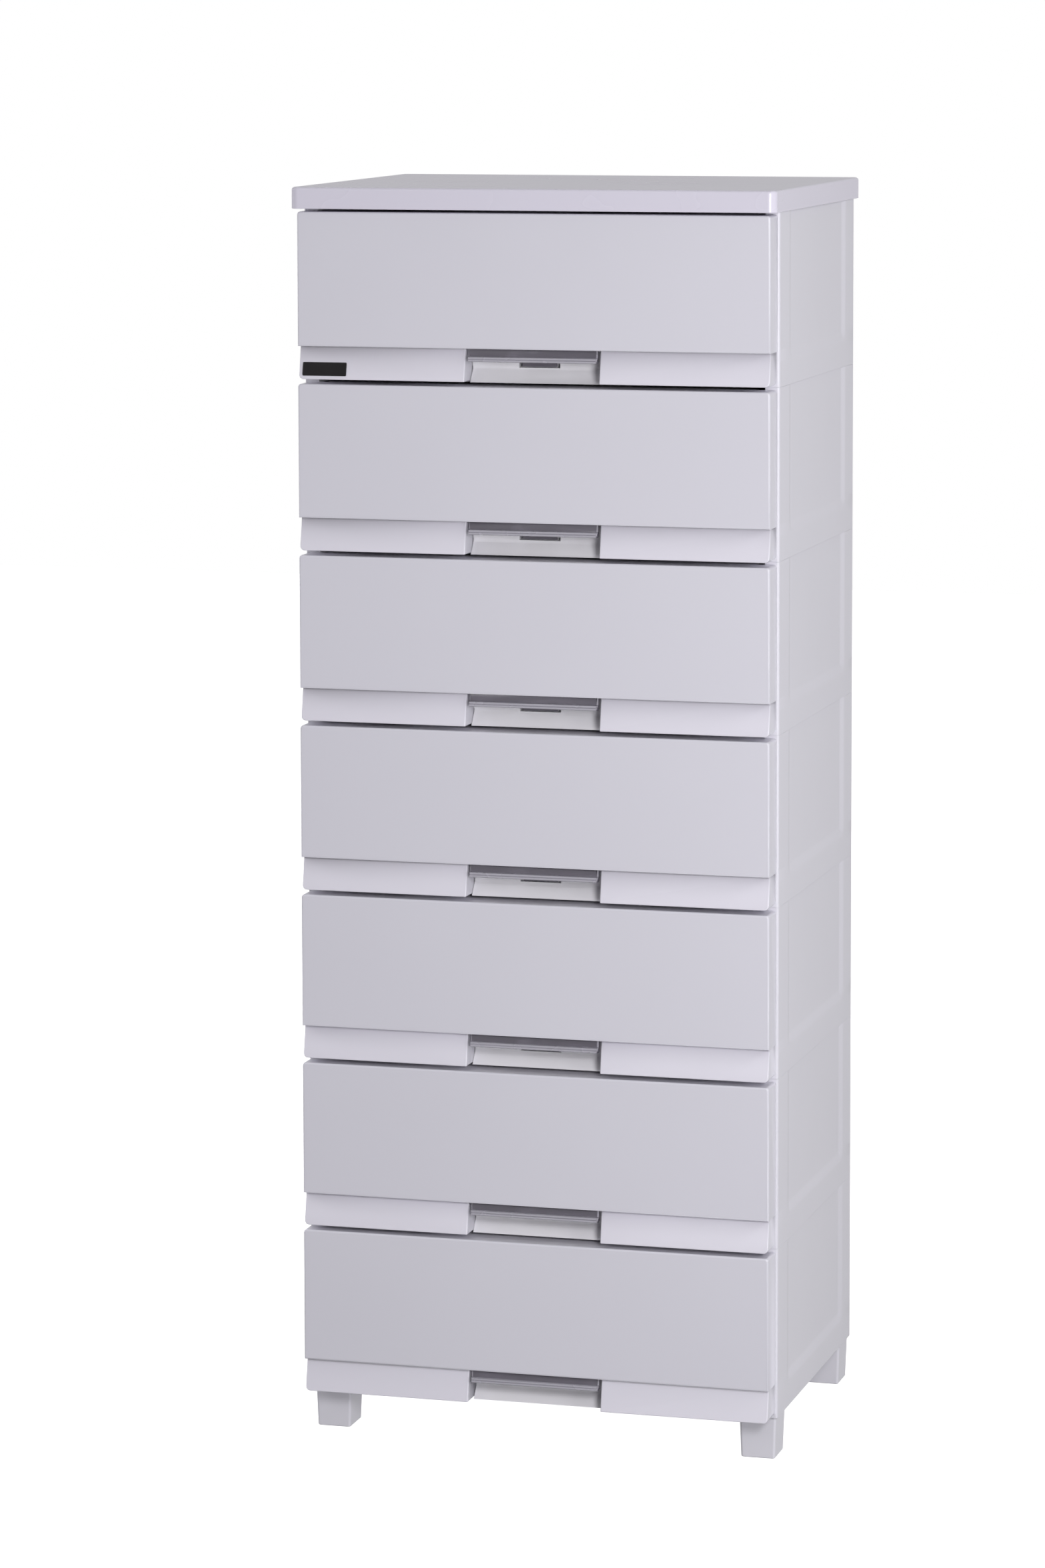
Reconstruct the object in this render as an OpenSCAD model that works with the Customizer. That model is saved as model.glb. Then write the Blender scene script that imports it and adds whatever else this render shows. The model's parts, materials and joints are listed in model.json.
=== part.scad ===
// Drawer tower of stacked moulded casings, each with one drawer and a sprung grip lever.
// Millimetres. X is across, Y is depth with the drawers opening towards -Y, Z is up.
// The origin is the middle of the tower's plan, on the floor.

/* [Tower] */
// Number of drawers, one above the other
drawer_count = 7; // [3:1:8]
// Height of one level, from a casing's underside to the next one's
level_pitch = 187.2; // [170:0.1:240]
// Width across the casing's sides
casing_width = 532; // [440:1:700]
// Depth of the casing, from its front edge to its back
casing_depth = 370; // [330:1:480]
// How far the drawer's front face stands in front of the casing's front edge
front_standoff = 34; // [32:0.5:42]

/* [Casing] */
// Thickness of the side wall in the dished field
side_skin = 3; // [2:0.1:4]
// Depth of the dished field in the side wall
dish_depth = 2.5; // [1:0.1:4]
// Width of the flush band in front of the dished field
dish_front_band = 45; // [25:1:70]
// Width of the flush band behind the dished field
dish_rear_band = 41; // [25:1:70]
// Length of the slope that leads into the dished field at its front and rear
dish_slope = 16; // [6:1:30]
// Height of the flush band under the dished field
dish_bottom_band = 28; // [15:1:50]
// Height of the slope at the dished field's bottom
dish_ramp = 12; // [4:1:25]
// Thickness of the back wall
back_wall = 3.5; // [3:0.1:5]
// Depth of the dished field in the back wall
back_dish_depth = 1.2; // [0.5:0.1:2]
// Width of the flush border round the back's dished field
back_border = 38; // [20:1:60]
// Radius of the casing's upright outer edges
casing_edge_radius = 2.5; // [1:0.5:5]
// Width of the stile's front face at each side of the drawer
stile_width = 16; // [12:0.5:19]
// Thickness of the stile's front face
stile_wall = 3; // [2:0.5:5]
// Thickness of the casing's floor
floor_wall = 3; // [2:0.1:4]
// Distance of the floor's front edge behind the stiles' front faces
floor_setback = 8; // [4:0.5:14]
// Height of the two runners on the floor
runner_height = 2.5; // [1.5:0.1:4]
// Width of a runner
runner_width = 8; // [4:0.5:16]
// Distance from the middle of the casing to the middle of a runner
runner_offset = 190; // [120:1:200]
// Thickness of the ledge that holds the open drawer's rim down
ledge_wall = 2.5; // [2:0.1:4]
// Length of a corner pad along the depth
pad_length = 24; // [22:1:36]
// Height of the corner pads on the floor
pad_height = 8; // [7:0.5:14]
// Height of the corner gussets under the casing's top edge
gusset_height = 14; // [10:0.5:17]
// Radius of the pegs that locate one casing on the next
peg_radius = 4.5; // [3:0.1:5]
// Height of the pegs
peg_height = 5; // [3:0.5:6]

/* [Drawer bin] */
// How far the drawer opens
drawer_travel = 290; // [150:1:295]
// Thickness of the bin's walls and floor
bin_wall = 2.5; // [1.5:0.1:4]
// Height of the rim's top above the casing's underside
bin_rim_height = 165.5; // [150:0.5:167]
// Width of the rim's flange outside the wall
bin_rim_flange = 8; // [4:0.5:14]
// Depth of the rim's flange, top to bottom
bin_rim_depth = 3; // [2:0.5:6]
// How much narrower each side of the bin is at its floor
bin_taper = 5; // [0:0.5:12]
// Free space behind the bin
bin_rear_space = 5; // [2:0.5:20]
// How far a stop tab stands out of the rim
stop_reach = 7; // [3:0.5:8]
// Length of a stop tab along the depth
stop_length = 10; // [5:0.5:20]
// Height of a stop tab
stop_height = 15; // [8:0.5:30]

/* [Drawer front] */
// Height of the panel's lower edge above the casing's underside
panel_bottom = 38; // [34:0.5:50]
// Gap between the panel's top and the next level
panel_top_gap = 3; // [2:0.5:6]
// Height of the skirt's lower edge above the casing's underside
skirt_bottom = 2; // [1:0.5:4]
// How far the skirt's upper end lies behind the panel's face
skirt_setback_top = 8.7; // [5:0.1:11]
// How far the skirt's lower end lies behind the panel's face
skirt_setback_bottom = 1.2; // [0.5:0.1:4]
// How much narrower the panel is than the casing, at each side
front_inset = 2.6; // [1:0.1:6]
// How much narrower the skirt is than the panel, at each side
skirt_inset = 0.9; // [0.5:0.1:3]
// Thickness of the front cover's walls
cover_wall = 2.8; // [2:0.1:4]
// Radius of the panel's front edges
panel_edge_radius = 2.2; // [1:0.1:4]
// Radius of the panel's corners as seen from the front
panel_corner_radius = 3.5; // [1:0.5:8]
// Radius of the skirt's lower outer corners
skirt_corner_radius = 5; // [2:0.5:10]
// Thickness of the ribs between the front cover and the bin
cover_rib = 2.5; // [1.5:0.1:4]
// Width of the blank plate
plate_width = 49.8; // [30:0.2:80]
// Height of the blank plate
plate_height = 14.7; // [8:0.1:18]
// Thickness of the blank plate
plate_wall = 1.2; // [0.8:0.1:2]
// Distance from the skirt's left end to the blank plate
plate_margin = 4; // [2:0.5:12]

/* [Grip] */
// Width of the cut-out in the skirt
grip_width = 150.6; // [120:0.2:200]
// Depth of the upright wall behind the finger space
grip_depth = 35; // [33:0.5:37]
// Depth of the sloped wall at its lower edge
slope_depth = 23; // [19:0.5:26]
// Height at which the sloped wall ends and the upright wall begins
slope_top = 15; // [11:0.5:16]
// Thickness of the grip housing's walls
housing_wall = 2.5; // [1.5:0.1:3]
// Width of the slot for the lever's tongue
slot_width = 46; // [43:0.5:47]
// Gap between the lever and the cut-out at each side
lever_side_gap = 2.8; // [1:0.1:6]
// How far the lever's face lies behind the panel's face
lever_setback = 6.5; // [6:0.1:7]
// Thickness of the lever's plate
lever_wall = 2.2; // [1.8:0.1:3]
// Height of the lever's lip above the casing's underside
lip_bottom = 23.9; // [23.7:0.1:26]
// Height of the lip, over both ridges
lip_height = 5.4; // [3:0.1:6]
// How far the lip stands in front of the lever's face
lip_reach = 4; // [3:0.1:4.5]
// Depth of the lever's pivot behind the panel's face
pivot_depth = 12; // [11.5:0.1:13]
// Height of the lever's pivot above the panel's lower edge
pivot_rise = 11; // [10:0.5:12]
// Radius of the lever's pivot pins
pin_radius = 2.2; // [1.5:0.1:2.6]
// Radial clearance of a pivot pin in its bore
pin_clearance = 0.06; // [0.03:0.01:0.1]
// Radius of the bar that joins the two pins
hub_radius = 3.2; // [3:0.1:4]
// Width of the lever's tongue
tongue_width = 39; // [30:1:40]
// Outer radius of the return springs
spring_radius = 3.5; // [3:0.1:4]
// Wire thickness of the return springs
spring_wire = 0.8; // [0.5:0.1:1.2]

/* [Board and feet] */
// Thickness of the top board
board_thickness = 23.5; // [19:0.5:32]
// How far the board stands out over the casings' sides
board_side_overhang = 4; // [1:0.5:15]
// How far the board stands out in front of the drawers
board_front_overhang = 4; // [1:0.5:15]
// How far the board stands out behind the casings
board_rear_overhang = 12; // [1:0.5:30]
// Radius of the board's upright corners
board_corner_radius = 9; // [5:0.5:20]
// Radius of the board's upper edge
board_edge_radius = 3.5; // [1:0.5:5]
// Height of the feet
foot_height = 47.5; // [25:0.5:90]
// Width of a foot
foot_width = 41; // [30:0.5:60]
// Depth of a foot
foot_depth = 44.6; // [32:0.1:60]
// Distance from the casing's side to the foot
foot_inset = 3; // [1:0.5:6]
// Distance from the casing's front edge to the front feet
foot_setback = 6; // [1:0.5:6]
// Thickness of a foot's walls
foot_wall = 3; // [2:0.5:5]
// Radius of the board screws
screw_radius = 2; // [1.5:0.1:2.5]
// How far a board screw goes into the board
screw_bite = 12; // [8:0.5:15]

/* [Hidden] */

// Clearances
seat_gap = 0.3;
loose_gap = 1;
cover_gap = 0.5;
bin_side_gap = 1.5;
stop_gap = 0.5;
peg_gap = 0.15;
screw_gap = 0.3;
thread_gap = 0.02;
slope_gap = 0.5;
// Reach of a cutting shape past the solid that it cuts
past = 1;
// Steps in the arc of a rounded corner, and in a turned round
arc_steps = 6;
round_steps = 48;

// Colours
shell_white = "#dcdae2";
bin_white = "#e2e1e6";
smoke_grey = "#6f6f78";
plate_black = "#1c1a1d";
steel_grey = "#b4b6ba";

// Plan
board_width = casing_width + 2 * board_side_overhang;
board_depth = board_front_overhang + front_standoff + casing_depth + board_rear_overhang;
front_y = board_front_overhang - board_depth / 2;
casing_front = front_y + front_standoff;
casing_rear = casing_front + casing_depth;
casing_half = casing_width / 2;
side_wall = side_skin + dish_depth;
inner_half = casing_half - side_wall;
mouth_half = casing_half - stile_width;
room_rear = casing_rear - back_wall;
stile_back = casing_front + stile_wall;

// Corner pads, gussets, pegs and screws
pad_reach = side_wall + 2 * peg_radius + 2;
peg_x = casing_half - side_wall - peg_radius;
screw_row = pad_length - peg_radius;
front_peg_y = casing_front + stile_wall + peg_radius + 2.5;
rear_peg_y = room_rear - peg_radius - 2.5;
screw_shift = 2 * peg_radius + 2.5;
corner_pegs = [
    [-peg_x, front_peg_y, 1],
    [peg_x, front_peg_y, 1],
    [-peg_x, rear_peg_y, -1],
    [peg_x, rear_peg_y, -1]
];
screw_head_radius = 2 * screw_radius;
screw_head_height = 1.2 * screw_radius;

// Bin
bin_front = front_y + grip_depth + housing_wall + 6.5;
bin_rear = room_rear - bin_rear_space;
bin_bottom = floor_wall + runner_height + seat_gap;
rim_half = mouth_half - bin_side_gap;
bin_top_half = rim_half - bin_rim_flange;
bin_bottom_half = bin_top_half - bin_taper;
stop_front = stile_back + stop_gap + drawer_travel;

// Front cover
panel_half = casing_half - front_inset;
skirt_half = panel_half - skirt_inset;
panel_top = level_pitch - panel_top_gap;
cover_depth = front_standoff - cover_gap;
cover_inner_top = panel_top - cover_wall;
grip_half = grip_width / 2;
cheek_half = grip_half + cover_wall;
cheek_top = panel_bottom + pivot_rise + hub_radius + 4;
pivot_z = panel_bottom + pivot_rise;
skirt_lean = (skirt_setback_top - skirt_setback_bottom) / (panel_bottom - skirt_bottom);
rib_places = [grip_half + 40, (grip_half + bin_top_half) / 2 + 20, bin_top_half - 4];

// Lever
lever_half = grip_half - lever_side_gap;
lever_back = lever_setback + lever_wall;
slot_bottom = slope_top + 1.3;
slot_top = pivot_z + 3;
tongue_bottom = slot_bottom + 1;
tongue_tip = 0.8;
tongue_front = grip_depth + 0.2;
arm_wall = 2.4;
arm_back = tongue_front + 2;
arm_half = tongue_width / 2 + 12;
spring_x = tongue_width / 2 + 7;
spring_depth = pivot_depth + 10;
shelf_top = pivot_z - arm_wall - 15;
shelf_half = spring_radius + 1;
arm_end = spring_depth + spring_radius + 2.5;

top_z = foot_height + drawer_count * level_pitch;

function level_z(n) = foot_height + (drawer_count - n) * level_pitch;
function skirt_depth_at(z) = skirt_setback_bottom + skirt_lean * (z - skirt_bottom);
function unit(v) = v / norm(v);
// Points of one corner at b, between a and c, rounded to radius r
function corner_arc(a, b, c, r) =
    r <= 0 ? [b] :
    let (
        u = unit(a - b),
        v = unit(c - b),
        half = acos(u * v) / 2,
        centre = b + unit(u + v) * r / sin(half),
        start = b + u * r / tan(half) - centre,
        end = b + v * r / tan(half) - centre,
        from = atan2(start[1], start[0]),
        turn = (atan2(end[1], end[0]) - from + 540) % 360 - 180
    )
    [
        for (i = [0:arc_steps])
        centre + r * [cos(from + turn * i / arc_steps), sin(from + turn * i / arc_steps)]
    ];
// Outline through corners given as [x, y, radius]
function rounded(corners) =
    let (last = len(corners) - 1)
    [
        for (i = [0:last])
        let (
            before = corners[i == 0 ? last : i - 1],
            here = corners[i],
            after = corners[i == last ? 0 : i + 1]
        )
        each corner_arc([before[0], before[1]], [here[0], here[1]], [after[0], after[1]], here[2])
    ];

module block(low, high) {
    translate(low) cube(high - low);
}

// Extrudes an outline drawn in Y and Z along X
module along_x(from, to) {
    translate([from, 0, 0]) rotate([90, 0, 90]) linear_extrude(to - from) children();
}

// Extrudes an outline drawn in X and Z along Y
module along_y(from, to) {
    translate([0, to, 0]) rotate([90, 0, 0]) linear_extrude(to - from) children();
}

// Extrudes an outline drawn in X and Y along Z
module along_z(from, to) {
    translate([0, 0, from]) linear_extrude(to - from) children();
}

module rod_x(from, to, radius) {
    translate([from, 0, 0]) rotate([0, 90, 0]) cylinder(r = radius, h = to - from, $fn = round_steps);
}

module both_sides() {
    children();
    mirror([1, 0, 0]) children();
}

module at_level(n) {
    translate([0, 0, level_z(n)]) children();
}

// ---- Casing

// Space of the dished field on the right side, which is cut away
module side_dish() {
    floor_edge = dish_bottom_band + dish_ramp;
    intersection() {
        along_y(casing_front, casing_rear) polygon([
            [casing_half + past, dish_bottom_band],
            [casing_half, dish_bottom_band],
            [casing_half - dish_depth, floor_edge],
            [casing_half - dish_depth, level_pitch + past],
            [casing_half + past, level_pitch + past]
        ]);
        along_z(0, level_pitch + past) polygon([
            [casing_half + past, casing_front + dish_front_band],
            [casing_half, casing_front + dish_front_band],
            [casing_half - dish_depth, casing_front + dish_front_band + dish_slope],
            [casing_half - dish_depth, casing_rear - dish_rear_band - dish_slope],
            [casing_half, casing_rear - dish_rear_band],
            [casing_half + past, casing_rear - dish_rear_band]
        ]);
    }
}

// Space of the dished field on the back, which is cut away
module back_dish() {
    half = casing_half - back_border;
    slope = dish_slope / 2;
    intersection() {
        along_x(-half, half) polygon([
            [casing_rear + past, dish_bottom_band],
            [casing_rear, dish_bottom_band],
            [casing_rear - back_dish_depth, dish_bottom_band + slope],
            [casing_rear - back_dish_depth, level_pitch + past],
            [casing_rear + past, level_pitch + past]
        ]);
        along_z(0, level_pitch + past) polygon([
            [-half, casing_rear + past],
            [-half, casing_rear],
            [slope - half, casing_rear - back_dish_depth],
            [half - slope, casing_rear - back_dish_depth],
            [half, casing_rear],
            [half, casing_rear + past]
        ]);
    }
}

module casing_walls() {
    difference() {
        along_z(0, level_pitch) polygon(rounded([
            [-casing_half, casing_front, casing_edge_radius],
            [casing_half, casing_front, casing_edge_radius],
            [casing_half, casing_rear, casing_edge_radius],
            [-casing_half, casing_rear, casing_edge_radius]
        ]));
        block([-inner_half, stile_back, floor_wall], [inner_half, room_rear, level_pitch + past]);
        block(
            [-mouth_half, casing_front - past, floor_wall],
            [mouth_half, stile_back + past, level_pitch + past]
        );
        block(
            [-mouth_half, casing_front - past, -past],
            [mouth_half, casing_front + floor_setback, level_pitch]
        );
        both_sides() side_dish();
        back_dish();
    }
}

// Corner pads on the floor and gussets at the top, at both ends of one side
module corner_blocks() {
    reach = casing_half - pad_reach;
    for (low = [[0, pad_height], [level_pitch - gusset_height, level_pitch]]) {
        block([mouth_half, stile_back - past, low[0]], [inner_half + past, stile_back + pad_length, low[1]]);
        block([reach, room_rear - pad_length, low[0]], [inner_half + past, room_rear + past, low[1]]);
    }
}

module casing(n) {
    ledge_bottom = bin_rim_height + loose_gap;
    color(shell_white) at_level(n) difference() {
        union() {
            casing_walls();
            both_sides() {
                corner_blocks();
                block(
                    [runner_offset - runner_width / 2, casing_front + floor_setback, floor_wall - past],
                    [runner_offset + runner_width / 2, room_rear - pad_length, floor_wall + runner_height]
                );
                block(
                    [rim_half - 3, stile_back - past, ledge_bottom],
                    [inner_half + past, room_rear - pad_length, ledge_bottom + ledge_wall]
                );
            }
            for (p = corner_pegs) {
                translate([p[0], p[1], level_pitch - past])
                    cylinder(r = peg_radius, h = peg_height + past, $fn = round_steps);
            }
        }
        for (p = corner_pegs) {
            translate([p[0], p[1], -past])
                cylinder(r = peg_radius + peg_gap, h = peg_height + 2 * past, $fn = round_steps);
            translate([p[0], p[1] + p[2] * screw_shift, level_pitch - gusset_height - past])
                cylinder(r = screw_radius + screw_gap, h = gusset_height + 2 * past, $fn = round_steps);
        }
    }
}

// ---- Drawer bin

module bin_outline(inset) {
    polygon([
        [-bin_bottom_half + inset, bin_bottom + inset],
        [bin_bottom_half - inset, bin_bottom + inset],
        [bin_top_half - inset, bin_rim_height + (inset > 0 ? past : 0)],
        [-bin_top_half + inset, bin_rim_height + (inset > 0 ? past : 0)]
    ]);
}

module drawer_bin(n) {
    color(bin_white) at_level(n) {
        difference() {
            union() {
                along_y(bin_front, bin_rear) bin_outline(0);
                block(
                    [-rim_half, bin_front, bin_rim_height - bin_rim_depth],
                    [rim_half, bin_rear, bin_rim_height]
                );
                both_sides() block(
                    [bin_top_half - past, stop_front, bin_rim_height - stop_height],
                    [rim_half + stop_reach, stop_front + stop_length, bin_rim_height]
                );
            }
            along_y(bin_front + bin_wall, bin_rear - bin_wall) bin_outline(bin_wall);
        }
        // The front wall rises to the front cover's top flange
        block(
            [-bin_top_half, bin_front, bin_rim_height - past],
            [bin_top_half, bin_front + bin_wall, cover_inner_top]
        );
    }
}

// ---- Front cover

// Side view of the cover's outer surface
module cover_outline() {
    polygon(rounded([
        [front_y + cover_depth, panel_top, 0],
        [front_y, panel_top, panel_edge_radius],
        [front_y, panel_bottom, panel_edge_radius],
        [front_y + skirt_setback_top, panel_bottom, 0],
        [front_y + skirt_setback_bottom, skirt_bottom, panel_edge_radius],
        [front_y + cover_depth, skirt_bottom, 0]
    ]));
}

// Side view of the space inside the cover
module cover_space() {
    skirt_wall = cover_wall * norm([1, skirt_lean]);
    polygon([
        [front_y + cover_depth + past, cover_inner_top],
        [front_y + cover_wall, cover_inner_top],
        [front_y + cover_wall, panel_bottom + cover_wall],
        [front_y + skirt_depth_at(panel_bottom + cover_wall) + skirt_wall, panel_bottom + cover_wall],
        [front_y + skirt_depth_at(skirt_bottom + cover_wall) + skirt_wall, skirt_bottom + cover_wall],
        [front_y + cover_depth + past, skirt_bottom + cover_wall]
    ]);
}

// The cover's outer form, with its edges rounded in all three views
module cover_form() {
    intersection() {
        along_x(-panel_half, panel_half) cover_outline();
        along_y(front_y - past, front_y + cover_depth + past) polygon(rounded([
            [-panel_half, panel_top, panel_corner_radius],
            [panel_half, panel_top, panel_corner_radius],
            [panel_half, panel_bottom, skirt_inset / 2],
            [skirt_half, panel_bottom, 0],
            [skirt_half, skirt_bottom, skirt_corner_radius],
            [-skirt_half, skirt_bottom, skirt_corner_radius],
            [-skirt_half, panel_bottom, 0],
            [-panel_half, panel_bottom, skirt_inset / 2]
        ]));
        along_z(skirt_bottom, panel_top) polygon(rounded([
            [-panel_half, front_y, panel_edge_radius],
            [panel_half, front_y, panel_edge_radius],
            [panel_half, front_y + cover_depth, 0],
            [-panel_half, front_y + cover_depth, 0]
        ]));
    }
}

// Wall at the right end of the cut-out, with the bore for the lever's pin
module cheek() {
    difference() {
        along_x(grip_half, cheek_half) polygon(rounded([
            [front_y + grip_depth, cheek_top, 0],
            [front_y + cover_wall - past, cheek_top, 0],
            [front_y + cover_wall - past, panel_bottom, 0],
            [front_y + skirt_setback_top, panel_bottom, 0],
            [front_y + skirt_setback_bottom, skirt_bottom, panel_edge_radius],
            [front_y + grip_depth, skirt_bottom, 0]
        ]));
        translate([0, front_y + pivot_depth, pivot_z])
            rod_x(grip_half - past, cheek_half + past, pin_radius + pin_clearance);
    }
}

module drawer_front(n) {
    color(shell_white) at_level(n) {
        difference() {
            cover_form();
            along_x(-panel_half + cover_wall, panel_half - cover_wall) cover_space();
            block(
                [-grip_half, front_y + cover_wall, skirt_bottom - past],
                [grip_half, front_y + cover_depth + past, panel_bottom + cover_wall + past]
            );
            block(
                [-grip_half, front_y - past, skirt_bottom - past],
                [grip_half, front_y + cover_depth, panel_bottom]
            );
        }
        both_sides() {
            cheek();
            for (x = rib_places) {
                block(
                    [x, front_y + cover_wall - past, panel_bottom + cover_wall + 2],
                    [x + cover_rib, bin_front, cover_inner_top]
                );
            }
        }
        // Top flange over the space between the cover and the bin
        block(
            [-bin_top_half, front_y + cover_depth - past, cover_inner_top],
            [bin_top_half, bin_front + bin_wall, panel_top]
        );
    }
}

module blank_plate() {
    bottom = skirt_bottom + 4;
    top = bottom + plate_height;
    left = plate_margin - skirt_half;
    color(plate_black) at_level(1) intersection() {
        along_x(left, left + plate_width) polygon([
            [front_y + skirt_depth_at(bottom), bottom],
            [front_y + skirt_depth_at(top), top],
            [front_y + skirt_depth_at(top) - plate_wall, top],
            [front_y + skirt_depth_at(bottom) - plate_wall, bottom]
        ]);
        along_y(front_y - plate_wall - past, front_y + skirt_setback_top) polygon(rounded([
            [left, bottom, plate_wall],
            [left + plate_width, bottom, plate_wall],
            [left + plate_width, top, plate_wall],
            [left, top, plate_wall]
        ]));
    }
}

// ---- Grip

module grip_housing(n) {
    back = front_y + grip_depth;
    slope_half = grip_half - slope_gap;
    slope_bottom = seat_gap;
    color(shell_white) at_level(n) {
        difference() {
            union() {
                block(
                    [-cheek_half, back, slope_top],
                    [cheek_half, back + housing_wall, cheek_top + housing_wall]
                );
                along_x(-slope_half, slope_half) polygon([
                    [front_y + slope_depth, slope_bottom],
                    [back, slope_top],
                    [back, slope_top + past],
                    [back + housing_wall, slope_top + past],
                    [back + housing_wall, slope_top],
                    [front_y + slope_depth + housing_wall * 1.3, slope_bottom]
                ]);
            }
            block(
                [-slot_width / 2, back - past, slot_bottom],
                [slot_width / 2, back + housing_wall + past, slot_top]
            );
        }
        // Roof over the lever's pivot
        block(
            [-cheek_half, front_y + cover_wall, cheek_top],
            [cheek_half, back + past, cheek_top + housing_wall]
        );
        both_sides() {
            // Boss that rests against the bin's front wall
            block(
                [grip_half - 20, back + housing_wall - past, pivot_z - 16],
                [grip_half - 10, bin_front, pivot_z]
            );
            // Shelf and guide pin under the return spring
            block(
                [spring_x - shelf_half, front_y + spring_depth - shelf_half, shelf_top - housing_wall],
                [spring_x + shelf_half, back + past, shelf_top]
            );
            translate([spring_x, front_y + spring_depth, shelf_top - past])
                cylinder(r = spring_radius - spring_wire - seat_gap, h = 5 + past, $fn = round_steps);
        }
    }
}

module grip_lever(n) {
    lip_front = front_y + lever_setback - lip_reach;
    ridge = lip_height / 4;
    color(smoke_grey) at_level(n) {
        // Plate and lip
        block(
            [-lever_half, front_y + lever_setback, lip_bottom + past],
            [lever_half, front_y + lever_back, pivot_z]
        );
        block(
            [-lever_half, lip_front + ridge, lip_bottom],
            [lever_half, front_y + lever_back, lip_bottom + lip_height]
        );
        for (z = [ridge, 3 * ridge]) {
            translate([0, lip_front + ridge, lip_bottom + z]) rod_x(-lever_half, lever_half, ridge);
        }
        // Hub bar and pins
        translate([0, front_y + pivot_depth, pivot_z]) {
            rod_x(-lever_half, lever_half, hub_radius);
            rod_x(-cheek_half + stop_gap, cheek_half - stop_gap, pin_radius);
        }
        // End webs
        both_sides() block(
            [lever_half - lever_wall, front_y + lever_setback, lip_bottom + past],
            [lever_half, front_y + pivot_depth, pivot_z]
        );
        // Arm over the springs, then the tongue that hangs down in the slot
        block([-arm_half, front_y + pivot_depth, pivot_z - arm_wall], [arm_half, front_y + arm_end, pivot_z]);
        along_x(-tongue_width / 2, tongue_width / 2) polygon([
            [front_y + arm_end - past, pivot_z],
            [front_y + arm_end - past, pivot_z - arm_wall],
            [front_y + tongue_front, pivot_z - arm_wall],
            [front_y + tongue_front, tongue_bottom],
            [front_y + tongue_front + tongue_tip, tongue_bottom],
            [front_y + arm_back, tongue_bottom + arm_back - tongue_front + tongue_tip],
            [front_y + arm_back, pivot_z]
        ]);
    }
}

// The two return springs, drawn as the sleeve that their coils fill
module lever_springs(n) {
    length = pivot_z - arm_wall - shelf_top - seat_gap;
    color(steel_grey) at_level(n) both_sides()
        translate([spring_x, front_y + spring_depth, shelf_top]) difference() {
            cylinder(r = spring_radius, h = length, $fn = round_steps);
            translate([0, 0, -past])
                cylinder(r = spring_radius - spring_wire, h = length + 2 * past, $fn = round_steps);
        }
}

// ---- Board, screws and feet

// Side view of a board edge to edge, with its upper edges rounded
module board_profile(width) {
    square_top = board_thickness - board_edge_radius;
    translate([-width / 2, 0]) square([width, square_top]);
    translate([board_edge_radius - width / 2, 0]) square([width - 2 * board_edge_radius, board_thickness]);
    for (side = [-1, 1]) {
        translate([side * (width / 2 - board_edge_radius), square_top])
            circle(r = board_edge_radius, $fn = round_steps);
    }
}

module board_body() {
    reach = [board_width / 2 - board_corner_radius, board_depth / 2 - board_corner_radius];
    along_x(-reach[0], reach[0]) board_profile(board_depth);
    along_y(-reach[1], reach[1]) board_profile(board_width);
    for (x = [-1, 1], y = [-1, 1]) {
        translate([x * reach[0], y * reach[1], 0]) rotate_extrude($fn = round_steps) intersection() {
            board_profile(2 * board_corner_radius);
            square([board_corner_radius, board_thickness]);
        }
    }
}

module top_board() {
    color(shell_white) translate([0, 0, top_z]) difference() {
        board_body();
        for (p = corner_pegs) {
            translate([p[0], p[1], -past])
                cylinder(r = peg_radius + peg_gap, h = peg_height + 2 * past, $fn = round_steps);
            translate([p[0], p[1] + p[2] * screw_shift, -past])
                cylinder(r = screw_radius + thread_gap, h = screw_bite + 2 * past, $fn = round_steps);
        }
    }
}

module board_screws() {
    head_top = top_z - gusset_height;
    color(steel_grey) for (p = corner_pegs) {
        translate([p[0], p[1] + p[2] * screw_shift, head_top - screw_head_height]) {
            cylinder(r = screw_head_radius, h = screw_head_height, $fn = round_steps);
            cylinder(r = screw_radius, h = screw_head_height + gusset_height + screw_bite, $fn = round_steps);
        }
    }
}

// One foot, with its outer corner at the origin and its body towards +X and +Y
module foot(peg) {
    edge = casing_edge_radius;
    color(shell_white) {
        difference() {
            along_z(0, foot_height) polygon(rounded([
                [0, 0, edge],
                [foot_width, 0, edge],
                [foot_width, foot_depth, edge],
                [0, foot_depth, edge]
            ]));
            block(
                [foot_wall, foot_wall, foot_wall],
                [foot_width - foot_wall, foot_depth - foot_wall, foot_height + past]
            );
        }
        intersection() {
            translate([peg[0], peg[1], 0])
                cylinder(r = peg_radius + 1.2 * foot_wall, h = foot_height, $fn = round_steps);
            block([foot_wall / 2, foot_wall / 2, 0], [foot_width, foot_depth, foot_height]);
        }
        translate([peg[0], peg[1], 0])
            cylinder(r = peg_radius, h = foot_height + peg_height, $fn = round_steps);
    }
}

module placed_foot(side, end) {
    outer = casing_half - foot_inset;
    peg_in = outer - peg_x;
    y = end < 0 ? casing_front + foot_setback : casing_rear;
    peg_y = end < 0 ? front_peg_y - y : y - rear_peg_y;
    translate([side * outer, y, 0])
        mirror([side > 0 ? 1 : 0, 0, 0])
        mirror([0, end > 0 ? 1 : 0, 0]) foot([peg_in, peg_y]);
}

for (n = [1:drawer_count]) {
    casing(n);
    drawer_bin(n);
    drawer_front(n);
    grip_housing(n);
    grip_lever(n);
    lever_springs(n);
}
top_board();
board_screws();
blank_plate();
placed_foot(-1, -1);  // foot_front_left
placed_foot(1, -1);  // foot_front_right
placed_foot(-1, 1);  // foot_rear_left
placed_foot(1, 1);  // foot_rear_right
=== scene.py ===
import json
import math

import bmesh
import bpy
from mathutils import Matrix, Vector

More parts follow.
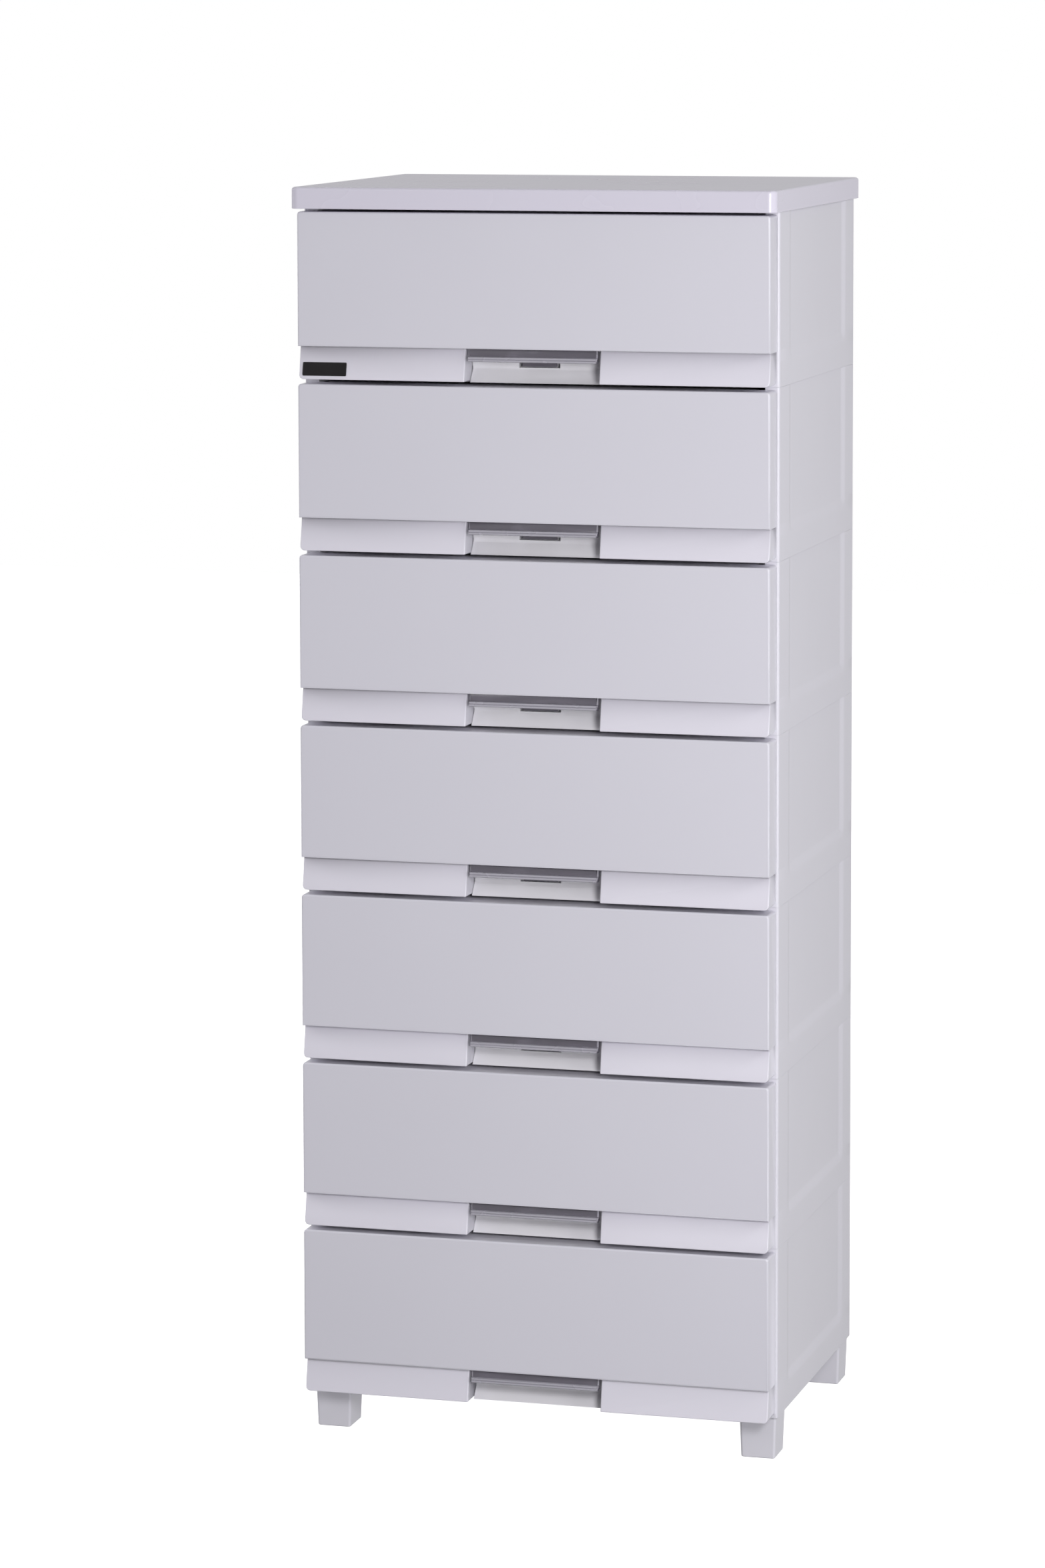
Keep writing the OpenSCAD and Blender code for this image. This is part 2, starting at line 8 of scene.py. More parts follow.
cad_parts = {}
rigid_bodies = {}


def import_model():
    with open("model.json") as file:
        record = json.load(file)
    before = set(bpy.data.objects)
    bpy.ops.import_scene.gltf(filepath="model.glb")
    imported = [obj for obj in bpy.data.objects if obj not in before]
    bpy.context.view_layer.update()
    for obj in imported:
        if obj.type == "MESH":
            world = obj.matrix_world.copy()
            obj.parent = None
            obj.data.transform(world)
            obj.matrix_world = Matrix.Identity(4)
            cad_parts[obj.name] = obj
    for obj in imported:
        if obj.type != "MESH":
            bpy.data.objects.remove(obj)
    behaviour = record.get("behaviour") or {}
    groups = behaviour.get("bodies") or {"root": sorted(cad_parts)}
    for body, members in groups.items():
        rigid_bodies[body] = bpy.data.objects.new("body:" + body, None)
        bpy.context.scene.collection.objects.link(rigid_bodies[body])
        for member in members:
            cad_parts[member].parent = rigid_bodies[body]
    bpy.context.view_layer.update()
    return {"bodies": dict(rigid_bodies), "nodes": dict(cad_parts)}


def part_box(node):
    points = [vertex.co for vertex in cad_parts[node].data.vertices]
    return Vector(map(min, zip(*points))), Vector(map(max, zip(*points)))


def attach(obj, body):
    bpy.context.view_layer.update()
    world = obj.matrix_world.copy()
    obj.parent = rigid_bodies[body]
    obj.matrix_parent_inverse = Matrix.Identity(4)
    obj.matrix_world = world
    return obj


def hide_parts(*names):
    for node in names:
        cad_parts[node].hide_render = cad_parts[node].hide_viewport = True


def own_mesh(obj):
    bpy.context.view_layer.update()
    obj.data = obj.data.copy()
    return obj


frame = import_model()
print("frame loaded with", len(frame["nodes"]), "nodes")

# Sizes that every piece shares, in millimetres: x and y in the shared frame, z from each level's underside

tower = {
    "front": -206.0,  # front face of the drawers
    "pitch": 187.2,
    "casingFront": -172.0,
    "casingRear": 198.0,
    "casingHalf": 266.0,
    "panelBottom": 38.0,
    "panelTop": 184.2,
    "skirtBottom": 2.0,
    "gripHalf": 75.3,
    "binFront": -162.0,
}
levels = sorted(int(name.split("_")[1]) for name in frame["bodies"] if name.startswith("drawer_"))
levelZ = {n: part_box(f"casing_{n}")[0].z for n in levels}  # metres
millimetre = 0.001
sameSpot = 0.01  # coordinates closer than this count as one
hair = 0.01  # keeps two faces out of one plane
tuck = 1.0  # how far an added box reaches into the wall it joins
axisX = Vector((1, 0, 0))
axisZ = Vector((0, 0, 1))


def depth(distance):
    return tower["front"] + distance


# Colour and node helpers


def hexColour(code):
    # sRGB to linear
    parts = [int(code[i : i + 2], 16) / 255 for i in (1, 3, 5)]
    return tuple(c / 12.92 if c <= 0.04045 else ((c + 0.055) / 1.055) ** 2.4 for c in parts) + (1.0,)


def grey(level):
    return (level, level, level, 1.0)


def addNode(tree, kind, settings=None, inputs=None):
    node = tree.nodes.new(kind)
    for key, value in (settings or {}).items():
        setattr(node, key, value)
    for key, value in (inputs or {}).items():
        if isinstance(value, bpy.types.NodeSocket):
            tree.links.new(value, node.inputs[key])
        else:
            node.inputs[key].default_value = value
    return node


def newMaterial(name):
    material = bpy.data.materials.new(name)
    material.use_nodes = True
    tree = material.node_tree
    tree.nodes.clear()
    output = addNode(tree, "ShaderNodeOutputMaterial")
    shader = addNode(tree, "ShaderNodeBsdfPrincipled")
    tree.links.new(shader.outputs[0], output.inputs["Surface"])
    place = addNode(tree, "ShaderNodeTexCoord").outputs["Object"]
    return material, tree, shader, place


def colourAndSheen(tree, shader, look, tone, gloss):
    # One pattern mixes the look's two colours, and the other spreads its roughness
    body = addNode(
        tree,
        "ShaderNodeMix",
        {"data_type": "RGBA"},
        {"Factor": tone, "A": hexColour(look["colour"]), "B": hexColour(look["colourDrift"])},
    )
    tree.links.new(body.outputs["Result"], shader.inputs["Base Color"])
    low, high = look["roughness"]
    sheen = addNode(tree, "ShaderNodeMapRange", inputs={"Value": gloss, "To Min": low, "To Max": high})
    tree.links.new(sheen.outputs["Result"], shader.inputs["Roughness"])


def evenSurface(name, look):
    # Colour and sheen drift together, under a skin that waves faintly
    material, tree, shader, place = newMaterial(name)
    scale, detail = 1 / look["driftSize"], look["driftDetail"]
    drift = addNode(tree, "ShaderNodeTexNoise", inputs={"Vector": place, "Scale": scale, "Detail": detail})
    colourAndSheen(tree, shader, look, drift.outputs["Fac"], drift.outputs["Fac"])
    scale = 1 / look["waveSize"]
    wave = addNode(tree, "ShaderNodeTexNoise", inputs={"Vector": place, "Scale": scale, "Detail": 2.0})
    skin = addNode(
        tree,
        "ShaderNodeBump",
        inputs={"Height": wave.outputs["Fac"], "Distance": look["waveHeight"], "Strength": 1.0},
    )
    tree.links.new(skin.outputs["Normal"], shader.inputs["Normal"])
    return material, shader


# Materials, with every length in a look in metres


def mouldedPlastic(name, look):
    # Injection moulded polystyrene, or polypropylene for the bins: an even off-white body, a soft sheen
    # and a skin that waves faintly where the melt cooled
    material, tree, shader, place = newMaterial(name)
    patterns = {}
    for key, detail in (("drift", 2.0), ("cloud", 3.0), ("grain", 1.0), ("wave", 1.0)):
        scale = 1 / look[key + "Size"]
        noise = addNode(
            tree, "ShaderNodeTexNoise", inputs={"Vector": place, "Scale": scale, "Detail": detail}
        )
        patterns[key] = noise.outputs["Fac"]
    colourAndSheen(tree, shader, look, patterns["drift"], patterns["cloud"])
    fine = addNode(
        tree,
        "ShaderNodeBump",
        inputs={"Height": patterns["grain"], "Distance": look["grainHeight"], "Strength": 1.0},
    )
    broad = addNode(
        tree,
        "ShaderNodeBump",
        inputs={
            "Height": patterns["wave"],
            "Distance": look["waveHeight"],
            "Strength": 1.0,
            "Normal": fine.outputs["Normal"],
        },
    )
    tree.links.new(broad.outputs["Normal"], shader.inputs["Normal"])
    shader.inputs["IOR"].default_value = look["ior"]
    return material


plasticLooks = {
    "casing": {
        "colour": "#d8d6df",
        "colourDrift": "#d5d3dc",
        "driftSize": 0.16,
        "cloudSize": 0.05,
        "roughness": (0.34, 0.40),
        "grainSize": 0.0011,  # spark-eroded grain of 0.3 mm, drawn coarser so that it shows
        "grainHeight": 0.000012,
        "waveSize": 0.07,
        "waveHeight": 0.00004,
        "ior": 1.55,
    },
    "front": {
        "colour": "#d6d4de",
        "colourDrift": "#d3d1db",
        "driftSize": 0.2,
        "cloudSize": 0.06,
        "roughness": (0.27, 0.33),
        "grainSize": 0.0012,
        "grainHeight": 0.000008,
        "waveSize": 0.09,
        "waveHeight": 0.00003,
        "ior": 1.55,
    },
    "bin": {
        "colour": "#dcdbe1",
        "colourDrift": "#d9d8de",
        "driftSize": 0.12,
        "cloudSize": 0.04,
        "roughness": (0.36, 0.44),
        "grainSize": 0.0012,
        "grainHeight": 0.000015,
        "waveSize": 0.05,
        "waveHeight": 0.00005,
        "ior": 1.5,
    },
    # The grip's paler colour is painted light: the same white moulding, made paler to lift the backing shaded
    # under the lip
    "grip": {
        "colour": "#ebe9ef",
        "colourDrift": "#e8e6ec",
        "driftSize": 0.05,
        "cloudSize": 0.02,
        "roughness": (0.28, 0.34),
        "grainSize": 0.0009,
        "grainHeight": 0.000008,
        "waveSize": 0.03,
        "waveHeight": 0.00002,
        "ior": 1.55,
    },
}

casingPlastic = mouldedPlastic("polystyrene_casing_satin", plasticLooks["casing"])
frontPlastic = mouldedPlastic("polystyrene_front_soft_gloss", plasticLooks["front"])
# The skirt leans up into more light than the panel: its paler colour is painted light,
# and a finer grain goes with it
skirtPaintedLightLook = {"colour": "#dddae5", "colourDrift": "#dad7e2", "roughness": (0.30, 0.36), "grainSize": 0.0009}
skirtPaintedLightPlastic = mouldedPlastic("polystyrene_skirt_fine_grain_painted_light", {**plasticLooks["front"], **skirtPaintedLightLook})
binPlastic = mouldedPlastic("polypropylene_bin_satin", plasticLooks["bin"])
gripPaintedLightPlastic = mouldedPlastic("polystyrene_grip_soft_gloss_painted_light", plasticLooks["grip"])


def smokedPlastic(name, look):
    # Smoke-tinted polycarbonate: a grey see-through body with crisp highlights where it is polished,
    # and a paler, rougher copy of it whose paler colour is a painted highlight
    material, shader = evenSurface(name, look)
    shader.inputs["IOR"].default_value = look["ior"]
    shader.inputs["Transmission Weight"].default_value = look["clear"]
    return material


smokedLook = {
    "colour": "#8c8893",
    "colourDrift": "#85818c",
    "driftSize": 0.03,
    "driftDetail": 2.0,
    "roughness": (0.10, 0.16),
    "waveSize": 0.012,
    "waveHeight": 0.00001,
    "ior": 1.58,
    "clear": 0.45,
}
leverPlastic = smokedPlastic("polycarbonate_smoked_polished", smokedLook)
# The lip's ridges and the plate's cut ends are drawn rougher, and their paler colour is a painted highlight
roughPaintedHighlightLook = {"colour": "#bab7c2", "colourDrift": "#b4b1bc", "roughness": (0.24, 0.30), "clear": 0.15}
leverPaintedHighlightPlastic = smokedPlastic("polycarbonate_smoked_rough_painted_highlight", {**smokedLook, **roughPaintedHighlightLook})


def wrappedBoard(name, look):
    # Fibreboard wrapped in satin white film: even colour, a faint orange peel from the fibres under the film
    material, shader = evenSurface(name, look)
    shader.inputs["IOR"].default_value = look["ior"]
    return material


boardLook = {
    "colour": "#d8d4e2",
    "colourDrift": "#d5d1df",
    "driftSize": 0.15,
    "driftDetail": 3.0,
    "roughness": (0.24, 0.30),
    "waveSize": 0.0045,  # the orange peel
    "waveHeight": 0.00002,
    "ior": 1.5,
}
boardFilm = wrappedBoard("fibreboard_satin_film", boardLook)


def darkFilm(name, look):
    # Dark polyester film on a moulded plate: near black, glossy, its reflections a little wavy from the plate
    material, shader = evenSurface(name, look)
    shader.inputs["Coat Weight"].default_value = look["coat"]
    shader.inputs["Coat Roughness"].default_value = look["coatRoughness"]
    return material


plateLook = {
    "colour": "#1b191b",
    "colourDrift": "#232022",
    "driftSize": 0.02,
    "driftDetail": 4.0,
    "roughness": (0.12, 0.2),
    "waveSize": 0.008,
    "waveHeight": 0.00002,
    "coat": 0.5,
    "coatRoughness": 0.08,
}
plateFilm = darkFilm("polyester_film_dark_gloss", plateLook)


def steel(name, look):
    # Bare bright metal with fine marks; the stretch squeezes a wire's in height, so that they run along it
    material, tree, shader, place = newMaterial(name)
    stretch = addNode(tree, "ShaderNodeMapping", inputs={"Vector": place, "Scale": look["stretch"]})
    place, scale = stretch.outputs["Vector"], 1 / look["markSize"]
    marks = addNode(tree, "ShaderNodeTexNoise", inputs={"Vector": place, "Scale": scale, "Detail": 3.0})
    colourAndSheen(tree, shader, look, marks.outputs["Fac"], marks.outputs["Fac"])
    skin = addNode(
        tree,
        "ShaderNodeBump",
        inputs={"Height": marks.outputs["Fac"], "Distance": look["markHeight"], "Strength": 0.6},
    )
    tree.links.new(skin.outputs["Normal"], shader.inputs["Normal"])
    shader.inputs["Metallic"].default_value = 1.0
    return material


wireLook = {
    "colour": "#c9c9cc",
    "colourDrift": "#b4b4b8",
    "roughness": (0.2, 0.35),
    "stretch": (1, 1, 3),
    "markSize": 0.0012,
    "markHeight": 0.00001,
}
zincLook = {
    "colour": "#c6c8cc",
    "colourDrift": "#a9adb5",
    "roughness": (0.25, 0.4),
    "stretch": (1, 1, 1),
    "markSize": 0.002,
    "markHeight": 0.00001,
}
springSteel = steel("spring_wire_drawn", wireLook)
screwSteel = steel("screw_zinc_plated", zincLook)
print("materials made")

# Mesh helpers, in millimetres


def addBox(bm, low, high):
    low, high = Vector(low), Vector(high)
    place = Matrix.Translation((low + high) / 2) @ Matrix.Diagonal((*(high - low), 1))
    return bmesh.ops.create_cube(bm, size=1, matrix=place)["verts"]


def addSideBox(bm, side, low, high):
    # Its corners are given for the right side, where side is 1, and mirrored for the left, where it is -1
    near, far = sorted((side * low[0], side * high[0]))
    addBox(bm, (near, low[1], low[2]), (far, high[1], high[2]))


def addRod(bm, axis, start, end, radius, sides=32):
    start, end = Vector(start), Vector(end)
    turn = axis.to_track_quat("Z", "Y").to_matrix().to_4x4()
    place = Matrix.Translation((start + end) / 2) @ turn
    length = (end - start).length
    bmesh.ops.create_cone(
        bm, cap_ends=True, segments=sides, radius1=radius, radius2=radius, depth=length, matrix=place
    )


def addPrism(bm, outline, plane, low, high):
    # The outline lies in the plane named, and is drawn out along the axis that the plane leaves out
    axis = {"yz": 0, "xy": 2}[plane]
    face = bm.faces.new([bm.verts.new((*spot[:axis], low, *spot[axis:])) for spot in outline])
    drawn = bmesh.ops.extrude_face_region(bm, geom=[face])["geom"]
    moved = [v for v in drawn if isinstance(v, bmesh.types.BMVert)]
    along = [0, 0, 0]
    along[axis] = high - low
    bmesh.ops.translate(bm, verts=moved, vec=along)


def roundEdges(bm, edges, radius, segments):
    bmesh.ops.bevel(
        bm, geom=list(edges), offset=radius, offset_type="OFFSET", segments=segments, profile=0.5,
        affect="EDGES", material=-1, clamp_overlap=True,
    )


def edgesWhere(bm, test):
    return [e for e in bm.edges if test(e.verts[0].co, e.verts[1].co)]


def meshObject(name, bm):
    mesh = bpy.data.meshes.new(name)
    bmesh.ops.recalc_face_normals(bm, faces=bm.faces)
    bm.to_mesh(mesh)
    made = bpy.data.objects.new(name, mesh)
    bpy.context.scene.collection.objects.link(made)
    return made


def evaluated(worker):
    bpy.context.view_layer.update()
    result = bmesh.new()
    result.from_object(worker, bpy.context.evaluated_depsgraph_get())
    return result


def discard(*objects):
    for o in objects:
        mesh = o.data
        bpy.data.objects.remove(o)
        bpy.data.meshes.remove(mesh)


def combine(bm, operation, *tools):
    # Blender's exact boolean, one tool after the other
    for tool in tools:
        worker, other = meshObject("worker", bm), meshObject("other", tool)
        step = worker.modifiers.new("step", "BOOLEAN")
        step.operation, step.solver, step.object = operation, "EXACT", other
        result = evaluated(worker)
        discard(worker, other)
        bm.free()
        tool.free()
        bm = result
    bmesh.ops.dissolve_limit(bm, angle_limit=math.radians(0.5), verts=bm.verts, edges=bm.edges)
    return bm


def joinInto(bm, other):
    # Adds a shape without a boolean
    joined = bpy.data.meshes.new("joined")
    other.to_mesh(joined)
    bm.from_mesh(joined)
    bpy.data.meshes.remove(joined)
    other.free()


brokenEdge = {"segments": 2, "sharperThan": 38}  # degrees


def finishedMesh(bm, name, edgeRadius):
    # Breaks every edge that is still sharp, as a mould does, and keeps the flats flat in the shading
    worker = meshObject(name, bm)
    for face in worker.data.polygons:
        face.use_smooth = True
    if edgeRadius:
        soften = worker.modifiers.new("soften", "BEVEL")
        soften.limit_method, soften.angle_limit = "ANGLE", math.radians(brokenEdge["sharperThan"])
        soften.width, soften.segments = edgeRadius, brokenEdge["segments"]
        soften.use_clamp_overlap = True
    flats = worker.modifiers.new("flats", "WEIGHTED_NORMAL")
    flats.keep_sharp = True
    bpy.context.view_layer.update()
    shape = bpy.data.meshes.new_from_object(worker.evaluated_get(bpy.context.evaluated_depsgraph_get()))
    discard(worker)
    bm.free()
    return shape


def placePiece(shape, name, body, material, nodes, lift=0.0):
    mesh = shape.copy()
    mesh.name = name
    mesh.transform(Matrix.Translation((0, 0, lift)) @ Matrix.Scale(millimetre, 4))
    mesh.materials.clear()
    mesh.materials.append(material)
    piece = bpy.data.objects.new(name, mesh)
    bpy.context.scene.collection.objects.link(piece)
    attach(piece, body)
    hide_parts(*nodes)
    return piece


def addPaintedLightFinish(piece, material, flags):
    # A second material of the same moulding, on the faces whose flag is 1; its paler colour is painted light
    piece.data.materials.append(material)
    piece.data.polygons.foreach_set("material_index", flags)


def easeStep(t):
    t = min(max(t, 0.0), 1.0)
    return t * t * (3 - 2 * t)


# Casings

casingSizes = {
    "sideWall": 5.5,
    "backWall": 3.5,
    "stileWidth": 16.0,
    "stileWall": 3.0,
    "floor": 3.0,
    "floorSetback": 8.0,
    "cornerRadius": 2.5,
    "dishDepth": 2.5,
    "frontBand": 45.0,
    "rearBand": 41.0,
    "slope": 18.0,
    "bottomBand": 27.0,
    "ramp": 14.0,
    "backBorder": 38.0,
    "backDish": 1.2,
    "runnerX": (186.0, 194.0),
    "runnerSetback": 0.5,
    "runnerHeight": 2.5,
    "ledgeIn": 245.5,
    "ledgeZ": (166.5, 169.0),
    "padLength": 24.0,
    "padHeight": 8.0,
    "padMargin": 2.0,
    "gussetHeight": 14.0,
    "pegRadius": 4.5,
    "pegHeight": 5.0,
    "pegRoot": 2.0,
    "pegs": ((256.0, -162.0), (256.0, 187.5)),
    "screwHoles": ((256.0, -150.5), (256.0, 176.0)),
    "edgeRadius": 0.45,
}


def casingShape():
    s = casingSizes
    half, height = tower["casingHalf"], tower["pitch"]
    front, rear = tower["casingFront"], tower["casingRear"]
    inner, mouth = half - s["sideWall"], half - s["stileWidth"]
    room, stile = rear - s["backWall"], front + s["stileWall"]
    bm = bmesh.new()
    plan = [
        (-mouth, front), (-half, front), (-half, rear), (half, rear), (half, front), (mouth, front),
        (mouth, stile), (inner, stile), (inner, room), (-inner, room), (-inner, stile), (-mouth, stile),
    ]
    addPrism(bm, plan, "xy", 0, height)
    bmesh.ops.recalc_face_normals(bm, faces=bm.faces)

    def isOuterCorner(a, b):
        upright = abs(a.x - b.x) < sameSpot and abs(a.y - b.y) < sameSpot
        return upright and abs(abs(a.x) - half) < sameSpot

    roundEdges(bm, edgesWhere(bm, isOuterCorner), s["cornerRadius"], segments=4)
    # Lines across the outer walls where the dished fields slope
    steps = (0.0, 0.1, 0.2, 0.35, 0.5, 0.65, 0.8, 0.9, 1.0)
    sideY = [front + s["frontBand"] + s["slope"] * t for t in steps]
    sideY += [rear - s["rearBand"] - s["slope"] * t for t in steps]
    backX = [side * (half - s["backBorder"] - s["slope"] * t) for t in steps for side in (-1, 1)]
    upZ = [s["bottomBand"] + s["ramp"] * t for t in steps]

    def cutAcross(faces, point, normal):
        near = {v for f in faces for v in f.verts} | {e for f in faces for e in f.edges} | set(faces)
        bmesh.ops.bisect_plane(bm, geom=list(near), dist=1e-4, plane_co=point, plane_no=normal)

    def outerSides():
        return [f for f in bm.faces if all(abs(abs(v.co.x) - half) < sameSpot for v in f.verts)]

    def outerBack():
        return [f for f in bm.faces if all(abs(v.co.y - rear) < sameSpot for v in f.verts)]

    for y in sideY:
        cutAcross(outerSides(), (0, y, 0), (0, 1, 0))
    for x in backX:
        cutAcross(outerBack(), (x, 0, 0), (1, 0, 0))
    for z in upZ:
        cutAcross(outerSides(), (0, 0, z), (0, 0, 1))
        cutAcross(outerBack(), (0, 0, z), (0, 0, 1))
    sideVerts = {v for f in outerSides() for v in f.verts}
    backVerts = {v for f in outerBack() for v in f.verts}
    for v in sideVerts:
        deep = easeStep((v.co.y - front - s["frontBand"]) / s["slope"])
        deep *= easeStep((rear - s["rearBand"] - v.co.y) / s["slope"])
        deep *= easeStep((v.co.z - s["bottomBand"]) / s["ramp"])
        v.co.x -= math.copysign(s["dishDepth"] * deep, v.co.x)
    for v in backVerts:
        deep = easeStep((half - s["backBorder"] - abs(v.co.x)) / s["slope"])
        deep *= easeStep((v.co.z - s["bottomBand"]) / s["ramp"])
        v.co.y -= s["backDish"] * deep
    # Floor, runners, ledges, corner pads and gussets
    floorFront, padRear = front + s["floorSetback"], room - s["padLength"]
    addBox(bm, (-mouth, floorFront, 0), (mouth, stile + tuck, s["floor"]))
    addBox(bm, (-inner - tuck, stile - tuck, hair), (inner + tuck, room + tuck, s["floor"]))
    for side in (-1, 1):
        runnerIn, runnerOut = s["runnerX"]
        addSideBox(
            bm, side,
            (runnerIn, floorFront + s["runnerSetback"], s["floor"] - tuck),
            (runnerOut, padRear, s["floor"] + s["runnerHeight"]),
        )
        ledgeLow, ledgeHigh = s["ledgeZ"]
        addSideBox(bm, side, (s["ledgeIn"], stile - tuck, ledgeLow), (inner + tuck, padRear, ledgeHigh))
        for low, high in ((0, s["padHeight"]), (height - s["gussetHeight"], height)):
            low, high = low + hair, high - hair
            padIn = half - s["sideWall"] - 2 * s["pegRadius"] - s["padMargin"]
            addSideBox(bm, side, (mouth, stile - tuck, low), (inner + tuck, stile + s["padLength"], high))
            addSideBox(bm, side, (padIn, padRear, low), (inner + tuck, room + tuck, high))
        for x, y in s["pegs"]:
            root, tip = (side * x, y, height - s["pegRoot"]), (side * x, y, height + s["pegHeight"])
            addRod(bm, axisZ, root, tip, s["pegRadius"], sides=24)
    return finishedMesh(bm, "casing", s["edgeRadius"])


def makeCasings():
    shape = casingShape()
    for n in levels:
        placePiece(
            shape, f"casing_shell_{n}", "frame", casingPlastic, [f"casing_{n}"], levelZ[n]
        )
    print("casings placed:", len(levels))


makeCasings()

# Drawer bins

binSizes = {
    "rear": 189.5,
    "bottom": 5.8,
    "rim": 165.5,
    "wall": 2.5,
    "topHalf": 240.5,
    "bottomHalf": 235.5,
    "flangeHalf": 248.5,
    "flangeDepth": 3.0,
    "cornerRadius": 9.0,
    "footRadius": 5.0,
    "stopHalf": 255.5,
    "stopY": (121.5, 131.5),
    "stopHeight": 15.0,
    "overlap": 1.5,  # of the flange and the stops with the side wall
    "frontTop": 181.4,
    "frontLap": 12.0,
    "edgeRadius": 0.4,
}


def binShape():
    s = binSizes
    front, rim, topHalf = tower["binFront"], s["rim"], s["topHalf"]
    taper = s["bottomHalf"] / topHalf
    bm = bmesh.new()
    verts = addBox(bm, (-topHalf, front, s["bottom"]), (topHalf, s["rear"], rim))
    for v in verts:
        if v.co.z < rim - 1:
            v.co.x *= taper
    roundEdges(bm, edgesWhere(bm, lambda a, b: abs(a.z - b.z) > 50), s["cornerRadius"], segments=5)
    under = edgesWhere(bm, lambda a, b: max(a.z, b.z) < s["bottom"] + 0.1)
    roundEdges(bm, under, s["footRadius"], segments=4)
    top = max(bm.faces, key=lambda f: f.calc_center_median().z)
    bmesh.ops.inset_individual(bm, faces=[top], thickness=s["wall"])
    sunk = bmesh.ops.extrude_face_region(bm, geom=[top])["geom"]
    low = [v for v in sunk if isinstance(v, bmesh.types.BMVert)]
    if top.is_valid:
        bmesh.ops.delete(bm, geom=[top], context="FACES")
    bmesh.ops.translate(bm, verts=low, vec=(0, 0, s["bottom"] + s["wall"] - rim))
    for v in low:
        v.co.x *= taper
    inside = [e for e in bm.edges if e.verts[0] in low and e.verts[1] in low]
    roundEdges(bm, inside, s["footRadius"] - 1, segments=4)
    joint = topHalf - s["overlap"]
    for side in (-1, 1):
        addSideBox(
            bm, side,
            (joint, front + 1, rim - s["flangeDepth"]),
            (s["flangeHalf"], s["rear"], rim - hair),
        )
        addSideBox(
            bm, side,
            (joint, s["stopY"][0], rim - s["stopHeight"]),
            (s["stopHalf"], s["stopY"][1], rim - 2 * hair),
        )
    addBox(bm, (-topHalf + 1, front, rim - s["frontLap"]), (topHalf - 1, front + s["wall"], s["frontTop"]))
    return finishedMesh(bm, "bin", s["edgeRadius"])


def makeBins():
    shape = binShape()
    for n in levels:
        placePiece(shape, f"bin_{n}", f"drawer_{n}", binPlastic, [f"drawer_bin_{n}"], levelZ[n])
    print("bins placed")


makeBins()

# Drawer front covers

coverSizes = {
    "half": 263.4,
    "skirtHalf": 262.5,
    "depth": 33.5,
    "wall": 2.8,
    "skirtSetbackTop": 8.7,
    "skirtSetbackBottom": 1.2,
    "panelEdge": 2.2,
    "panelCorner": 3.5,
    "skirtCorner": 5.0,
    "skirtInnerCorner": 1.2,
    "skirtEdge": 2.2,
    "earTop": 56.2,
    "earDepth": 35.0,
    "pivot": (12.0, 49.0),
    "boreRadius": 2.26,
    "ribs": (115.3, 177.9, 236.5),
    "ribWidth": 2.5,
    "flangeHalf": 240.5,
    "bite": 0.5,  # how far ears, ribs and flange reach into the shell
    "edgeRadius": 0.3,
}
skirtRise = tower["panelBottom"] - tower["skirtBottom"]
skirtLean = (coverSizes["skirtSetbackTop"] - coverSizes["skirtSetbackBottom"]) / skirtRise


def skirtFace(z, inward=0.0):
    # Where the leaning skirt stands at a height, or a distance inside it
    setback = coverSizes["skirtSetbackBottom"] + skirtLean * (z - tower["skirtBottom"])
    return depth(setback + inward)


